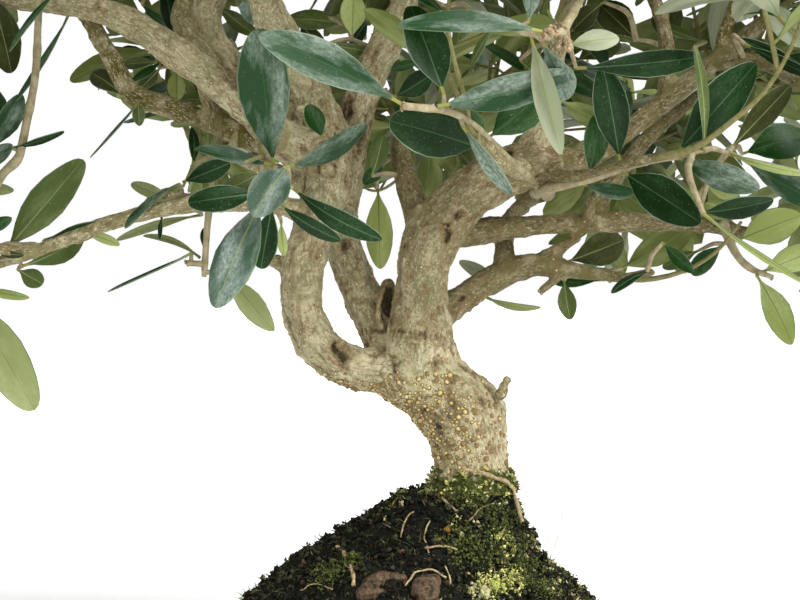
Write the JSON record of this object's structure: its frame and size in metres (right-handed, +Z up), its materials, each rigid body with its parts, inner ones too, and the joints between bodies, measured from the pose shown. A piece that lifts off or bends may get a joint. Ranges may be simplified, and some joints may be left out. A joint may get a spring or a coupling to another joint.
{
  "type": "olive bonsai tree",
  "caption": "Olive bonsai with a bent, forked trunk, spreading boughs and an open crown of long leaves, standing on its mossy root ball.",
  "frame": {"origin": "middle of the root ball's flat underside, the level that the tree stands on", "axes": "+X to the right of the tree's front, +Y to its back, +Z up along the way it grows"},
  "size_m": [0.4952, 0.3873, 0.4594],
  "materials": {
    "bark": "matte",
    "young_bark": "matte",
    "soil": "matte",
    "leaf": "satin"
  },
  "bodies": {
    "root": {"root_ball": "soil", "trunk": "bark", "left_limb_bend": "bark", "left_limb": "bark", "right_trunk": "bark", "middle_limb": "bark", "right_limb": "bark", "left_up_bough": "bark", "left_outer_bough": "bark", "left_green_bough": "young_bark", "left_behind_bough": "young_bark", "curled_bough": "bark", "left_low_bough": "young_bark", "left_back_bough": "young_bark", "front_left_bough": "young_bark", "whorl_bough": "young_bark", "centre_bough": "young_bark", "back_top_bough": "young_bark", "right_up_bough": "young_bark", "inner_bough": "young_bark", "right_middle_bough": "young_bark", "right_brown_bough": "young_bark", "right_low_bough": "young_bark", "right_back_bough": "young_bark", "right_green_bough": "young_bark", "right_fork_bough": "young_bark", "top_right_bough": "young_bark", "front_top_bough": "young_bark", "front_centre_bough": "young_bark", "front_right_bough": "young_bark", "left_low_leaves": "leaf", "left_outer_leaves": "leaf", "left_top_leaves": "leaf", "left_behind_leaves": "leaf", "left_back_leaves": "leaf", "whorl_leaves": "leaf", "front_left_leaves": "leaf", "curled_bough_leaves": "leaf", "front_top_left_leaves": "leaf", "top_leaves": "leaf", "back_top_leaves": "leaf", "back_leaves": "leaf", "inner_leaves": "leaf", "right_back_leaves": "leaf", "right_brown_bough_leaves": "leaf", "right_middle_leaves": "leaf", "right_low_leaves": "leaf", "right_outer_leaves": "leaf", "right_fork_leaves": "leaf", "top_right_leaves": "leaf", "front_top_leaves": "leaf", "front_centre_leaves": "leaf", "front_right_leaves": "leaf"}
  },
  "joints": []
}
